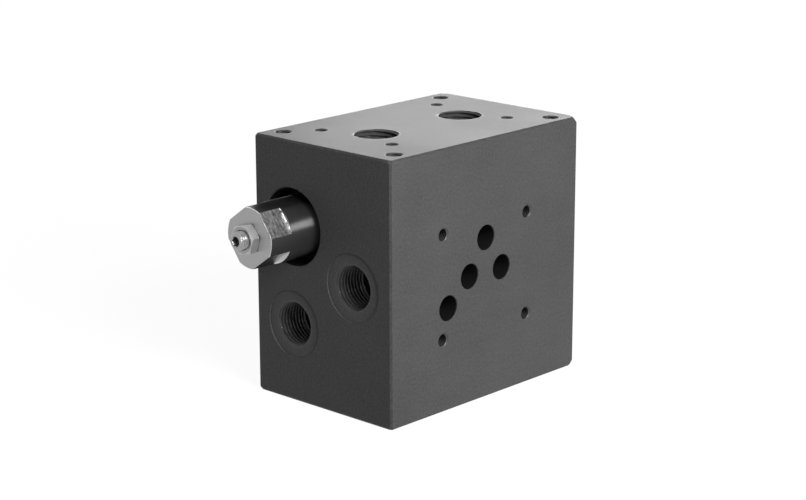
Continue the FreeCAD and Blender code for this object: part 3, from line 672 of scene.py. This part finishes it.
dress(
    make_finish("nitrile_rubber", nitrile),
    "shoulder_seal_ring", "nose_seal_ring", "seat_seal_ring", "piston_seal_ring",
    "side_plug_seal_ring", "base_plug_seal_ring",
)
dress(make_finish("cut_plastic", cut_plastic), "nose_backup_ring", "piston_backup_ring")


# The studio, as for a catalogue picture: a white sweep that runs out of view, a large soft lamp to the right
# of the camera, a soft panel behind, a small lamp at the left for glints, and dim fill all round.
FLOOR_REACH = 6.0
PAPER_GLOW = 0.93
FILL_STRENGTH = 0.069
LAMP_TARGET = (0.0, 0.0, 0.06)
CAMERA_PLACE = (-0.6764, -0.6247, 0.3114)
CAMERA_RIGHT = (0.68352, -0.72993, -0.00217)
CAMERA_FORWARD = (0.70349, 0.65954, -0.26478)
CAMERA_LENS = 96.97


def seen_directly(start):
    """1 for rays from the camera and rays that mirrors or glass send on, 0 for light that scatters."""
    path = start.node("ShaderNodeLightPath").socket.node
    names = ("Is Camera Ray", "Is Glossy Ray", "Is Transmission Ray")
    camera, glossy, transmission = [Signal(start.tree, path.outputs[name]) for name in names]
    return camera.math("MAXIMUM", glossy).math("MAXIMUM", transmission)


def lay_sweep():
    """The floor: seen as paper white that a soft shadow greys a little, dim in the light it scatters."""
    mesh = bpy.data.meshes.new("studio_floor")
    signs = ((-1, -1), (1, -1), (1, 1), (-1, 1))
    mesh.from_pydata([(a * FLOOR_REACH, b * FLOOR_REACH, 0) for a, b in signs], [], [(0, 1, 2, 3)])
    floor = bpy.data.objects.new("studio_floor", mesh)
    bpy.context.scene.collection.objects.link(floor)
    material = bpy.data.materials.new("studio_paper")
    material.use_nodes = True
    material.node_tree.nodes.clear()
    start = Signal(material.node_tree)
    glow = start.node("ShaderNodeEmission", inputs={"Color": (1, 1, 1, 1), "Strength": PAPER_GLOW})
    paper = start.node("ShaderNodeBsdfDiffuse", inputs={"Color": (0.10, 0.10, 0.10, 1)})
    dim = start.node("ShaderNodeBsdfDiffuse", inputs={"Color": (0.30, 0.30, 0.30, 1)})
    shown = start.node("ShaderNodeAddShader", inputs={0: paper, 1: glow})
    mixed = start.node("ShaderNodeMixShader", inputs={0: seen_directly(start), 1: dim, 2: shown})
    start.node("ShaderNodeOutputMaterial", inputs={"Surface": mixed})
    mesh.materials.append(material)


def hang_lamp(name, towards, distance, size, watts):
    """A square soft lamp in a direction from the block, facing it."""
    lamp = bpy.data.lights.new(name, "AREA")
    lamp.shape = "SQUARE"
    lamp.size = size
    lamp.energy = watts
    holder = bpy.data.objects.new(name, lamp)
    direction = np.array(towards) / np.linalg.norm(towards)
    holder.location = np.array(LAMP_TARGET) + direction * distance
    side = np.cross((0, 0, 1), direction)
    side = side / np.linalg.norm(side)
    up = np.cross(direction, side)
    turn = Matrix(np.column_stack([side, up, direction]).tolist())
    holder.rotation_mode = "QUATERNION"
    holder.rotation_quaternion = turn.to_quaternion()
    bpy.context.scene.collection.objects.link(holder)


def light_world():
    """Dim even fill for scattered light; paper white where it is seen directly."""
    world = bpy.data.worlds.new("studio_air")
    world.use_nodes = True
    world.node_tree.nodes.clear()
    start = Signal(world.node_tree)
    fill = start.node("ShaderNodeBackground", inputs={"Color": (1, 1, 1, 1), "Strength": FILL_STRENGTH})
    white = start.node("ShaderNodeBackground", inputs={"Color": (1, 1, 1, 1), "Strength": 1.0})
    mixed = start.node("ShaderNodeMixShader", inputs={0: seen_directly(start), 1: fill, 2: white})
    start.node("ShaderNodeOutputWorld", inputs={"Surface": mixed})
    bpy.context.scene.world = world


def set_camera():
    """The photograph's camera, worked out from the block's edges."""
    data = bpy.data.cameras.new("photograph_camera")
    data.lens = CAMERA_LENS
    data.sensor_width = 36.0
    camera = bpy.data.objects.new("photograph_camera", data)
    right, forward = np.array(CAMERA_RIGHT), np.array(CAMERA_FORWARD)
    up = np.cross(right, forward)
    turn = Matrix(np.column_stack([right, up, -forward]).tolist())
    camera.rotation_mode = "QUATERNION"
    camera.rotation_quaternion = turn.to_quaternion()
    camera.location = CAMERA_PLACE
    bpy.context.scene.collection.objects.link(camera)
    bpy.context.scene.camera = camera


lay_sweep()
hang_lamp("key_lamp", towards=(-0.20, -0.86, 0.48), distance=1.3, size=0.6, watts=28.0)
hang_lamp("back_panel", towards=(0.85, 0.45, 0.27), distance=1.4, size=1.0, watts=14.3)
hang_lamp("left_lamp", towards=(-0.96, -0.20, 0.16), distance=1.3, size=0.12, watts=0.5)
light_world()
set_camera()
bpy.context.scene.view_settings.view_transform = "Standard"
